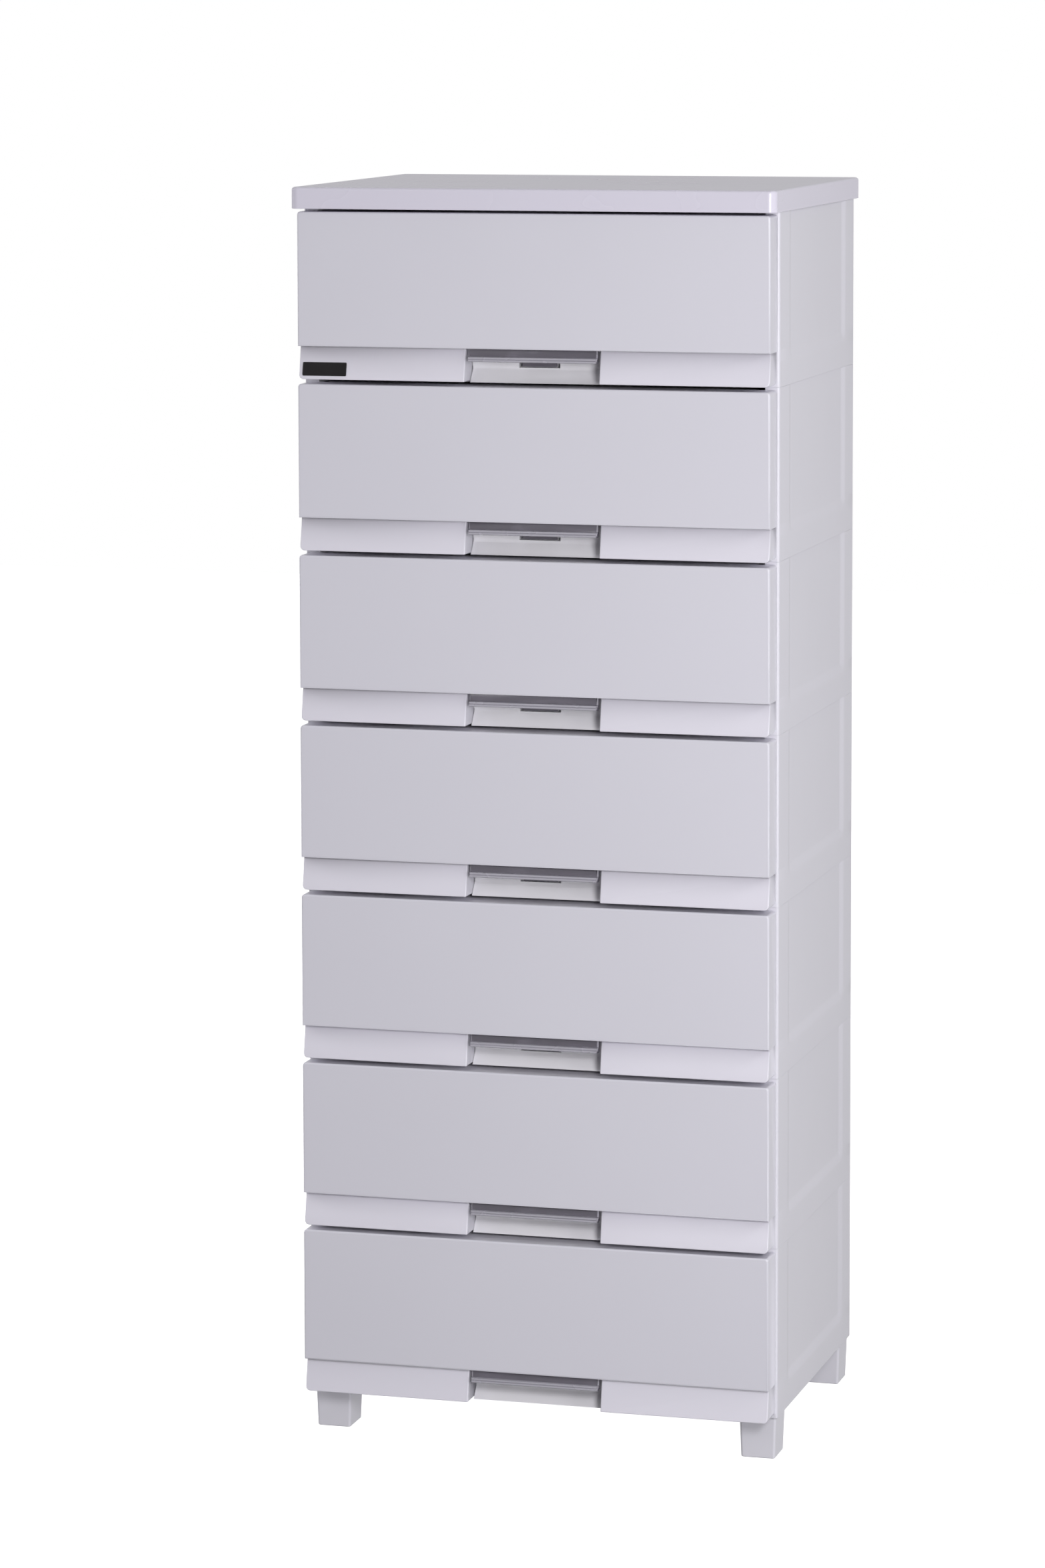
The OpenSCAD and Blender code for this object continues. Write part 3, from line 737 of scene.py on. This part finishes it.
def coverShape():
    s = coverSizes
    half, wall, grip, bite = s["half"], s["wall"], tower["gripHalf"], s["bite"]
    top, bottom, low = tower["panelTop"], tower["panelBottom"], tower["skirtBottom"]
    shellEnd, beyond = depth(s["depth"]), 5  # the cutting tools stand this far past the shell
    # Panel slab and skirt are rounded as solids first, then hollowed
    panel = bmesh.new()
    addBox(panel, (-half, depth(0), bottom), (half, shellEnd, top))

    def isTopCorner(a, b):
        return abs(a.x - b.x) < sameSpot and abs(a.z - b.z) < sameSpot and a.z > top - 1

    roundEdges(panel, edgesWhere(panel, isTopCorner), s["panelCorner"], segments=4)
    face = min(panel.faces, key=lambda f: f.calc_center_median().y)
    roundEdges(panel, face.edges, s["panelEdge"], segments=5)
    profile = [
        (shellEnd, low), (depth(s["skirtSetbackBottom"]), low),
        (depth(s["skirtSetbackTop"] - 2 * skirtLean), bottom + 2), (shellEnd, bottom + 2),
    ]
    skirts = []
    for side in (-1, 1):
        skirt = bmesh.new()
        addPrism(skirt, profile, "yz", *sorted((side * grip, side * s["skirtHalf"])))
        bmesh.ops.recalc_face_normals(skirt, faces=skirt.faces)
        for x, radius in ((s["skirtHalf"], s["skirtCorner"]), (grip, s["skirtInnerCorner"])):
            corner = edgesWhere(
                skirt,
                lambda a, b: abs(abs(a.x) - x) + abs(a.x - b.x) < sameSpot and max(a.z, b.z) < low + 1,
            )
            roundEdges(skirt, corner, radius, segments=5)
        face = min(skirt.faces, key=lambda f: f.normal.y)
        outer = [e for e in face.edges if min(v.co.z for v in e.verts) < bottom]
        roundEdges(skirt, outer, s["skirtEdge"], segments=4)
        skirts.append(skirt)
    bm = combine(panel, "UNION", *skirts)

    def space(outline, x0, x1):
        tool = bmesh.new()
        addPrism(tool, outline, "yz", x0, x1)
        return tool

    back, inFront = depth(s["depth"] + beyond), depth(wall)
    roof, sill, ledge = top - wall, bottom + wall, low + wall
    upper = space([(inFront, roof), (back, roof), (back, sill), (inFront, sill)], wall - half, half - wall)
    slant = wall * math.hypot(1, skirtLean)
    lower = [
        (skirtFace(sill + 1, slant), sill + 1), (back, sill + 1),
        (back, ledge), (skirtFace(ledge, slant), ledge),
    ]
    left = space(lower, wall - s["skirtHalf"], -grip - wall)
    right = space(lower, grip + wall, s["skirtHalf"] - wall)
    cutOut = bmesh.new()
    addBox(cutOut, (-grip, depth(-beyond), low - beyond), (grip, back, bottom))
    underside = bmesh.new()
    addBox(underside, (-grip, inFront, bottom - 1), (grip, back, sill + 1))
    bm = combine(bm, "DIFFERENCE", upper, left, right, cutOut, underside)
    # Pivot ears, ribs and the flange over the bin's front wall
    earEnd, inShell, inEnd = depth(s["earDepth"]), depth(wall - bite), depth(s["depth"] - bite)
    pivotY, pivotZ = depth(s["pivot"][0]), s["pivot"][1]
    for side in (-1, 1):
        near, far = sorted((side * grip, side * (grip + wall)))
        ear = bmesh.new()
        addBox(ear, (near, inShell, bottom + bite), (far, earEnd, s["earTop"]))
        bore = bmesh.new()
        addRod(bore, axisX, (near - 1, pivotY, pivotZ), (far + 1, pivotY, pivotZ), s["boreRadius"])
        joinInto(bm, combine(ear, "DIFFERENCE", bore))
        addBox(bm, (near, inEnd, low + hair), (far, earEnd, bottom + 0.6))  # laps the ear
        for x in s["ribs"]:
            addSideBox(
                bm, side, (x, inShell, sill + 2), (x + s["ribWidth"], tower["binFront"], roof + bite)
            )
    flangeEnd = tower["binFront"] + binSizes["wall"]
    addBox(bm, (-s["flangeHalf"], inEnd, roof), (s["flangeHalf"], flangeEnd, top - hair))
    return finishedMesh(bm, "cover", s["edgeRadius"])


def isSkirt(face):
    middle = face.center
    return middle.z < tower["panelBottom"] and middle.y < depth(coverSizes["skirtSetbackTop"] + 1)


def makeCovers():
    shape = coverShape()
    onSkirt = [int(isSkirt(face)) for face in shape.polygons]
    for n in levels:
        name, nodes = f"front_cover_{n}", [f"drawer_front_{n}"]
        piece = placePiece(shape, name, f"drawer_{n}", frontPlastic, nodes, levelZ[n])
        # The skirt's faces get the paler copy of the front plastic, which is painted light
        addPaintedLightFinish(piece, skirtPaintedLightPlastic, onSkirt)
    print("front covers placed")


makeCovers()

# Grip housings

housingSizes = {
    "half": 78.1,
    "slopeHalf": 74.8,
    "wall": 2.5,
    "slantWall": 1.3,  # times the wall, across the foot of the slope
    "depth": 35.0,
    "slopeDepth": 23.0,
    "slopeTop": 15.0,
    "slopeBottom": 0.3,
    "foldRadius": 8.0,
    "foldSteps": 8,
    "top": 58.7,
    "roofHalf": 78.05,
    "roofFront": 2.9,
    "slotHalf": 23.0,
    "slotZ": (16.3, 52.0),
    "shelfX": 26.5,
    "shelfDepth": 22.0,
    "shelfTop": 31.6,
    "shelfHalf": 4.5,
    "guideRadius": 2.4,
    "guideHeight": 5.0,
    "bossX": (55.3, 65.3),
    "bossZ": (33.0, 49.0),
    "edgeRadius": 0.35,
}


def housingShape():
    s = housingSizes
    back, foot, wall = depth(s["depth"]), depth(s["slopeDepth"]), s["wall"]
    # Side view of the wall and the slope below it, which meet in a soft fold
    run, drop = s["depth"] - s["slopeDepth"], s["slopeTop"] - s["slopeBottom"]
    lean = math.atan2(run, drop)
    radius, steps = s["foldRadius"], s["foldSteps"]
    centreY, centreZ = back - radius, s["slopeTop"] + radius * math.tan(lean / 2)
    fold = []
    for i in range(steps + 1):
        turn = -lean * i / steps
        fold.append((centreY + radius * math.cos(turn), centreZ + radius * math.sin(turn)))
    outline = [
        (back + wall, s["slopeTop"]), (foot + wall * s["slantWall"], s["slopeBottom"]),
        (foot, s["slopeBottom"]), *fold[::-1], (back + wall, centreZ),
    ]
    bm = bmesh.new()
    addPrism(bm, outline, "yz", -s["slopeHalf"], s["slopeHalf"])
    upper = bmesh.new()
    addBox(upper, (-s["half"], back, centreZ - hair), (s["half"], back + wall, s["top"]))
    window = bmesh.new()
    addBox(window, (-s["slotHalf"], back - 8, s["slotZ"][0]), (s["slotHalf"], back + 8, s["slotZ"][1]))
    bm = combine(bm, "UNION", upper)
    bm = combine(bm, "DIFFERENCE", window)
    roofFront, roofHalf = depth(s["roofFront"]), s["roofHalf"]
    addBox(bm, (-roofHalf, roofFront, s["top"] - wall), (roofHalf, back + tuck, s["top"] - hair))
    for side in (-1, 1):
        bossIn, bossOut = s["bossX"]
        bossLow, bossHigh = s["bossZ"]
        addSideBox(bm, side, (bossIn, back + wall - tuck, bossLow), (bossOut, tower["binFront"], bossHigh))
        x, y, reach, shelf = side * s["shelfX"], depth(s["shelfDepth"]), s["shelfHalf"], s["shelfTop"]
        addBox(bm, (x - reach, y - reach, shelf - wall), (x + reach, back + tuck, shelf))
        addRod(bm, axisZ, (x, y, shelf - tuck), (x, y, shelf + s["guideHeight"]), s["guideRadius"], sides=24)
    return finishedMesh(bm, "housing", s["edgeRadius"])


def makeHousings():
    shape = housingShape()
    for n in levels:
        name, nodes = f"grip_back_{n}", [f"grip_housing_{n}"]
        placePiece(shape, name, f"drawer_{n}", gripPaintedLightPlastic, nodes, levelZ[n])
    print("grip housings placed")


makeHousings()

# Grip levers

leverSizes = {
    "half": 72.5,
    "face": 6.5,
    "wall": 2.2,
    "endChamfer": 1.8,
    "lipEnd": 1.2,
    "lipZ": 23.9,
    "lipHeight": 5.4,
    "lipReach": 4.0,
    "ridgeSteps": 10,
    "pivot": coverSizes["pivot"],
    "hubRadius": 3.2,
    "pinRadius": 2.2,
    "pinHalf": 77.6,
    "armHalf": 31.5,
    "armWall": 2.4,
    "armEnd": 28.0,
    "tongueHalf": 19.5,
    "tongueDepth": (35.2, 37.2),
    "tongueBottom": 17.3,
    "tongueTip": 0.8,
    "edgeRadius": 0.22,
}


def leverShape():
    s = leverSizes
    half, cut, wall = s["half"], s["endChamfer"], s["wall"]
    pivotY, pivotZ = depth(s["pivot"][0]), s["pivot"][1]
    face, back = depth(s["face"]), depth(s["face"] + wall)
    ridge, top, steps = s["lipHeight"] / 4, s["lipZ"] + s["lipHeight"], s["ridgeSteps"]
    lipIn, webIn, hubIn = 0.007, 0.011, 0.013  # these keep the parts' ends out of one plane
    # Side view of the lip: two ridges of half a circle each, and a small step up onto the plate
    lip = [(back, s["lipZ"])]
    for k in (1, 3):
        ridgeY, ridgeZ = face - s["lipReach"] + ridge, s["lipZ"] + k * ridge
        for i in range(steps + 1):
            turn = math.radians(-90 - 180 * i / steps)
            lip.append((ridgeY + ridge * math.cos(turn), ridgeZ + ridge * math.sin(turn)))
    lip += [(face - 0.5, top), (face - 0.15, top + 0.15), (face + 0.01, top + 0.5), (back, top + 0.5)]
    bm = bmesh.new()
    addPrism(bm, lip, "yz", -half + lipIn, half - lipIn)
    bmesh.ops.recalc_face_normals(bm, faces=bm.faces)
    # The lip's ends are turned in a little, and the plate's are cut off at 45 degrees
    for v in bm.verts:
        inward = max(0.0, 1 - (v.co.y - face + s["lipReach"]) / s["lipReach"])
        v.co.x -= math.copysign(s["lipEnd"] * inward, v.co.x)
    plan = [
        (-half, back), (-half, face + cut), (-half + cut, face),
        (half - cut, face), (half, face + cut), (half, back),
    ]
    plate = bmesh.new()
    addPrism(plate, plan, "xy", s["lipZ"] + 0.3, pivotZ)
    hub = bmesh.new()
    addRod(hub, axisX, (hubIn - half, pivotY, pivotZ), (half - hubIn, pivotY, pivotZ), s["hubRadius"])
    pins = bmesh.new()
    addRod(pins, axisX, (-s["pinHalf"], pivotY, pivotZ), (s["pinHalf"], pivotY, pivotZ), s["pinRadius"])
    arm = bmesh.new()
    armEnd, armLow = depth(s["armEnd"]), pivotZ - s["armWall"]
    addBox(arm, (-s["armHalf"], pivotY, armLow), (s["armHalf"], armEnd, pivotZ - 2 * hair))
    near, far = (depth(d) for d in s["tongueDepth"])
    start, tip, low = depth(s["armEnd"] - 1), s["tongueTip"], s["tongueBottom"]
    over, under = pivotZ - 4 * hair, armLow + 2 * hair
    profile = [
        (start, over), (start, under), (near, under),
        (near, low), (near + tip, low), (far, low + far - near + tip), (far, over),
    ]
    tongue = bmesh.new()
    addPrism(tongue, profile, "yz", -s["tongueHalf"], s["tongueHalf"])
    webs = []
    for side in (-1, 1):
        web = bmesh.new()
        addSideBox(web, side, (half - wall, back - 0.5, s["lipZ"] + 1), (half - webIn, pivotY, pivotZ))
        webs.append(web)
    bm = combine(bm, "UNION", plate, hub, pins, arm, tongue, *webs)
    return finishedMesh(bm, "lever", s["edgeRadius"])


def isPaintedHighlightFace(face):
    # On the lip's ridges or on a cut end of the plate, where the paler colour is a painted highlight
    s = leverSizes
    middle, normal, front = face.center, face.normal, depth(s["face"])
    onLip = middle.y < front - 0.2 and middle.z < s["lipZ"] + s["lipHeight"] + 0.6
    onCut = abs(normal.x) > 0.4 and normal.y < -0.4 and front < middle.y < front + s["endChamfer"]
    return onLip or onCut


def makeLevers():
    shape = leverShape()
    highlightFaces = [int(isPaintedHighlightFace(face)) for face in shape.polygons]
    for n in levels:
        name, nodes = f"lever_{n}_smoked", [f"grip_lever_{n}"]
        piece = placePiece(shape, name, f"lever_{n}", leverPlastic, nodes, levelZ[n])
        # The ridges and cut ends get the paler smoked copy, as painted highlights
        addPaintedLightFinish(piece, leverPaintedHighlightPlastic, highlightFaces)
    print("levers placed")


makeLevers()

# Return springs

springSizes = {
    "x": housingSizes["shelfX"],
    "depth": housingSizes["shelfDepth"],
    "bottom": housingSizes["shelfTop"],
    "top": 46.3,
    "radius": 3.1,
    "wire": 0.4,
    "wireSides": 8,
    "turns": 6,
    "stepsPerTurn": 20,
}


def springShape():
    s = springSizes
    rise = s["top"] - s["bottom"] - 2 * s["wire"]
    steps = s["turns"] * s["stepsPerTurn"]
    bm = bmesh.new()
    for side in (-1, 1):
        centre = Vector((side * s["x"], depth(s["depth"]), 0))
        start = Matrix.Translation(centre + Vector((s["radius"], 0, s["bottom"] + s["wire"])))
        ring = bmesh.ops.create_circle(
            bm, cap_ends=False, radius=s["wire"], segments=s["wireSides"],
            matrix=start @ Matrix.Rotation(math.pi / 2, 4, "X"),
        )["verts"]
        edges = list({e for v in ring for e in v.link_edges})
        bmesh.ops.spin(
            bm, geom=ring + edges, cent=centre, axis=(0, 0, 1), dvec=(0, 0, rise / steps),
            angle=2 * math.pi * s["turns"], steps=steps, use_duplicate=False,
        )
    bmesh.ops.remove_doubles(bm, verts=bm.verts, dist=1e-4)
    bmesh.ops.holes_fill(bm, edges=[e for e in bm.edges if e.is_boundary], sides=s["wireSides"])
    return finishedMesh(bm, "spring", 0)


def makeSprings():
    shape = springShape()
    for n in levels:
        name, nodes = f"return_springs_{n}", [f"lever_springs_{n}"]
        piece = placePiece(shape, name, f"drawer_{n}", springSteel, nodes, levelZ[n])
        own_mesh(piece)
    print("springs placed")


makeSprings()

# Top board, screws and the bare plate

boardSizes = {
    "half": 270.0,
    "halfDepth": 210.0,
    "thickness": 23.5,
    "cornerRadius": 9.0,
    "topRadius": 3.2,
    "bottomRadius": 0.8,
}


def makeBoard():
    s = boardSizes
    bm = bmesh.new()
    addBox(bm, (-s["half"], -s["halfDepth"], 0), (s["half"], s["halfDepth"], s["thickness"]))
    roundEdges(bm, edgesWhere(bm, lambda a, b: abs(a.z - b.z) > 1), s["cornerRadius"], segments=8)
    over = edgesWhere(bm, lambda a, b: min(a.z, b.z) > s["thickness"] - 0.1)
    roundEdges(bm, over, s["topRadius"], segments=5)
    roundEdges(bm, edgesWhere(bm, lambda a, b: max(a.z, b.z) < 0.1), s["bottomRadius"], segments=2)
    shape, lift = finishedMesh(bm, "board", 0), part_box("top_board")[0].z
    placePiece(shape, "board_wrapped", "frame", boardFilm, ["top_board"], lift)


screwSizes = {
    "holes": casingSizes["screwHoles"],
    "headRadius": 4.0,
    "headHeight": 2.4,
    "headRounding": 1.2,
    "shank": 2.0,
    "length": 26.0,
    "cross": 4.4,
    "crossWidth": 0.9,
    "crossDepth": 1.6,
    "edgeRadius": 0.12,
}


def makeScrews():
    s = screwSizes
    top, arm, arm2 = s["headHeight"], s["cross"] / 2, s["crossWidth"] / 2
    whole = bmesh.new()
    for holeX, y in s["holes"]:
        for x in (-holeX, holeX):
            head = bmesh.new()
            addRod(head, axisZ, (x, y, 0), (x, y, top), s["headRadius"])
            rim = edgesWhere(head, lambda a, b: max(a.z, b.z) < 0.1)
            roundEdges(head, rim, s["headRounding"], segments=4)
            slots = []
            for reachX, reachY in ((arm, arm2), (arm2, arm)):
                slot = bmesh.new()
                addBox(slot, (x - reachX, y - reachY, -1), (x + reachX, y + reachY, s["crossDepth"]))
                slots.append(slot)
            head = combine(head, "DIFFERENCE", *slots)
            addRod(head, axisZ, (x, y, top - 0.5), (x, y, top + s["length"]), s["shank"], sides=20)
            joinInto(whole, head)
    shape, lift = finishedMesh(whole, "screws", s["edgeRadius"]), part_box("board_screws")[0].z
    placePiece(shape, "board_screws_zinc", "frame", screwSteel, ["board_screws"], lift)


plateSizes = {
    "left": -258.5,
    "width": 49.8,
    "bottom": 6.0,
    "height": 14.7,
    "wall": 1.2,
    "corner": 1.2,
    "edge": 0.45,
}


def makePlate():
    s = plateSizes
    bm = bmesh.new()
    addBox(bm, (s["left"], -s["wall"], s["bottom"]), (s["left"] + s["width"], 0, s["bottom"] + s["height"]))
    roundEdges(bm, edgesWhere(bm, lambda a, b: abs(a.y - b.y) > 0.5), s["corner"], segments=4)
    front = [f for f in bm.faces if all(v.co.y < -s["wall"] + sameSpot for v in f.verts)]
    roundEdges(bm, front[0].edges, s["edge"], segments=3)
    for v in bm.verts:
        v.co.y += skirtFace(v.co.z)  # laid onto the leaning skirt
    shape = finishedMesh(bm, "plate", 0)
    placePiece(shape, "plate_bare", "drawer_1", plateFilm, ["blank_plate"], levelZ[1])


makeBoard()
makeScrews()
makePlate()
print("board, screws and plate placed")

# Feet

footSizes = {
    "height": 47.5,
    "draft": 1.6,
    "edgeRadius": 2.8,
    "soleRadius": 1.6,
    "pegRadius": casingSizes["pegRadius"],
    "pegHeight": casingSizes["pegHeight"],
    "pegRoot": 3.0,
    "brokenRadius": 0.3,
}


def makeFeet():
    s = footSizes
    top = s["height"]
    for name in ("foot_front_left", "foot_front_right", "foot_rear_left", "foot_rear_right"):
        low, high = (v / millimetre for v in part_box(name))
        middle = (low + high) / 2
        bm = bmesh.new()
        verts = addBox(bm, (low.x, low.y, 0), (high.x, high.y, top))
        for v in verts:  # the mould's draft narrows the foot towards the floor
            if v.co.z < 1:
                v.co.x += math.copysign(s["draft"], middle.x - v.co.x)
                v.co.y += math.copysign(s["draft"], middle.y - v.co.y)
        roundEdges(bm, edgesWhere(bm, lambda a, b: abs(a.z - b.z) > 10), s["edgeRadius"], segments=5)
        roundEdges(bm, edgesWhere(bm, lambda a, b: max(a.z, b.z) < 0.1), s["soleRadius"], segments=4)
        pegX, y = casingSizes["pegs"][0 if "front" in name else 1]
        x = math.copysign(pegX, middle.x)
        addRod(bm, axisZ, (x, y, top - s["pegRoot"]), (x, y, top + s["pegHeight"]), s["pegRadius"], sides=24)
        shape = finishedMesh(bm, name, s["brokenRadius"])
        placePiece(shape, name + "_moulded", "frame", casingPlastic, [name])
    print("feet placed")


makeFeet()

# Camera, floor and light

cameraSetup = {
    # Metres and radians: the photograph's viewpoint, fitted to edges of board, fronts, casings and feet
    # with less lens shift than the photograph's own, which leaves the tower in frame from other sides
    "place": (1.5305, -5.63172, 1.594),
    "turn": 0.2766,
    "tilt": -0.09852,
    "roll": -0.00258,
    "focalPixels": 7899.56,
    "framePixels": 2352,
    "shiftY": -0.175,
    "sensorWidth": 36,  # millimetres
    "clip": (0.05, 60),
}


def makeCamera():
    s = cameraSetup
    data = bpy.data.cameras.new("photoCamera")
    camera = bpy.data.objects.new("photoCamera", data)
    bpy.context.scene.collection.objects.link(camera)
    data.sensor_fit = "AUTO"
    data.sensor_width = s["sensorWidth"]
    data.lens = s["focalPixels"] * data.sensor_width / s["framePixels"]
    data.shift_y = s["shiftY"]
    data.clip_start, data.clip_end = s["clip"]
    turn, tilt, roll = s["turn"], s["tilt"], s["roll"]
    forward = Vector((-math.sin(turn) * math.cos(tilt), math.cos(turn) * math.cos(tilt), math.sin(tilt)))
    across = Vector((math.cos(turn), math.sin(turn), 0))
    up = across.cross(forward)
    right = math.cos(roll) * across + math.sin(roll) * up
    up = right.cross(forward)
    facing = Matrix((right, up, -forward)).transposed().to_4x4()
    camera.matrix_world = Matrix.Translation(s["place"]) @ facing
    bpy.context.scene.camera = camera


floorLook = {"colour": "#cfcfd1", "size": 16.0, "roughness": 0.7, "glow": 1.0}  # metres


def makeFloor():
    look = floorLook
    bm = bmesh.new()
    bmesh.ops.create_grid(bm, x_segments=1, y_segments=1, size=look["size"] / 2)
    mesh = bpy.data.meshes.new("studioFloor")
    bm.to_mesh(mesh)
    bm.free()
    floor = bpy.data.objects.new("studioFloor", mesh)
    bpy.context.scene.collection.objects.link(floor)
    # A lit paper sweep that stays white around the shadow
    material, _, shader, _ = newMaterial("paper_sweep_white")
    shader.inputs["Base Color"].default_value = hexColour(look["colour"])
    shader.inputs["Roughness"].default_value = look["roughness"]
    shader.inputs["Specular IOR Level"].default_value = 0.0
    shader.inputs["Emission Color"].default_value = grey(1.0)
    shader.inputs["Emission Strength"].default_value = look["glow"]
    mesh.materials.append(material)
    floor.visible_diffuse = False  # its light on the tower comes from the world's lower half instead
    floor.visible_glossy = False


lights = {
    # name: (place, aim, width, height, watts), fitted to the tones and shadows of the photograph
    "keyRight": ((1.45, -2.82, 1.5), (0, -0.1, 1.0), 0.6, 0.7, 36),
    "keyFar": ((2.42, -4.57, 0.9), (0, -0.1, 0.8), 1.1, 1.1, 56),
    "leftHigh": ((-1.7, -3.3, 2.3), (0, -0.1, 1.3), 1.2, 1.2, 10),
    "sideHigh": ((3.0, -0.4, 2.3), (0, 0, 1.1), 0.8, 0.8, 18),
    "lowSide": ((2.72, -1.47, 0.5), (0, -0.1, 0.7), 0.8, 0.6, 19),
    "lowFront": ((0.6, -3.1, 0.25), (0, -0.1, 0.25), 1.6, 0.4, 6),
    # The last stands behind the front, so the photograph's view keeps its tones
    "rearLeft": ((-3.3, 0.5, 1.5), (0, 0, 0.8), 1.4, 2.0, 60),
}
dullLights = ("leftHigh", "sideHigh", "lowSide", "rearLeft")  # these only fill, and leave no glare
worldLight = {"below": 0.34, "level": 0.04, "above": 0.48, "rear": 0.5, "backdrop": 1.0}


def makeLights():
    for name, (place, aim, width, height, watts) in lights.items():
        data = bpy.data.lights.new(name, "AREA")
        data.shape, data.size, data.size_y = "RECTANGLE", width, height
        data.energy = watts
        lamp = bpy.data.objects.new(name, data)
        bpy.context.scene.collection.objects.link(lamp)
        lamp.location = place
        lamp.rotation_mode = "QUATERNION"
        lamp.rotation_quaternion = (Vector(aim) - Vector(place)).to_track_quat("-Z", "Y")
        lamp.visible_glossy = name not in dullLights


def makeWorld():
    # The room's soft light changes with height and is stronger from the rear
    world = bpy.data.worlds.new("studio")
    bpy.context.scene.world = world
    world.use_nodes = True
    tree = world.node_tree
    tree.nodes.clear()
    direction = addNode(tree, "ShaderNodeTexCoord").outputs["Generated"]
    heading = addNode(tree, "ShaderNodeSeparateXYZ", inputs={"Vector": direction})
    ramp = addNode(tree, "ShaderNodeValToRGB")
    stops = ramp.color_ramp.elements
    stops.new(0.5)
    for stop, key in zip(stops, ("below", "level", "above")):
        stop.color = grey(worldLight[key])
    rise = addNode(
        tree, "ShaderNodeMapRange", inputs={"Value": heading.outputs["Z"], "From Min": -1.0, "From Max": 1.0}
    )
    tree.links.new(rise.outputs["Result"], ramp.inputs["Fac"])
    rear = addNode(
        tree,
        "ShaderNodeMapRange",
        inputs={
            "Value": heading.outputs["Y"],
            "From Min": 0.2,
            "From Max": 0.8,
            "To Max": worldLight["rear"],
        },
    )
    room = addNode(
        tree,
        "ShaderNodeMix",
        {"data_type": "RGBA", "blend_type": "ADD"},
        {"Factor": 1.0, "A": ramp.outputs["Color"], "B": rear.outputs["Result"]},
    )
    # The camera itself sees a white backdrop
    seen = addNode(
        tree,
        "ShaderNodeMix",
        {"data_type": "RGBA"},
        {
            "Factor": addNode(tree, "ShaderNodeLightPath").outputs["Is Camera Ray"],
            "A": room.outputs["Result"],
            "B": grey(worldLight["backdrop"]),
        },
    )
    backdrop = addNode(tree, "ShaderNodeBackground", inputs={"Color": seen.outputs["Result"]})
    tree.links.new(backdrop.outputs[0], addNode(tree, "ShaderNodeOutputWorld").inputs["Surface"])


makeCamera()
makeFloor()
makeLights()
makeWorld()
bpy.context.scene.view_settings.view_transform = "Standard"
print("camera, floor and lights ready")
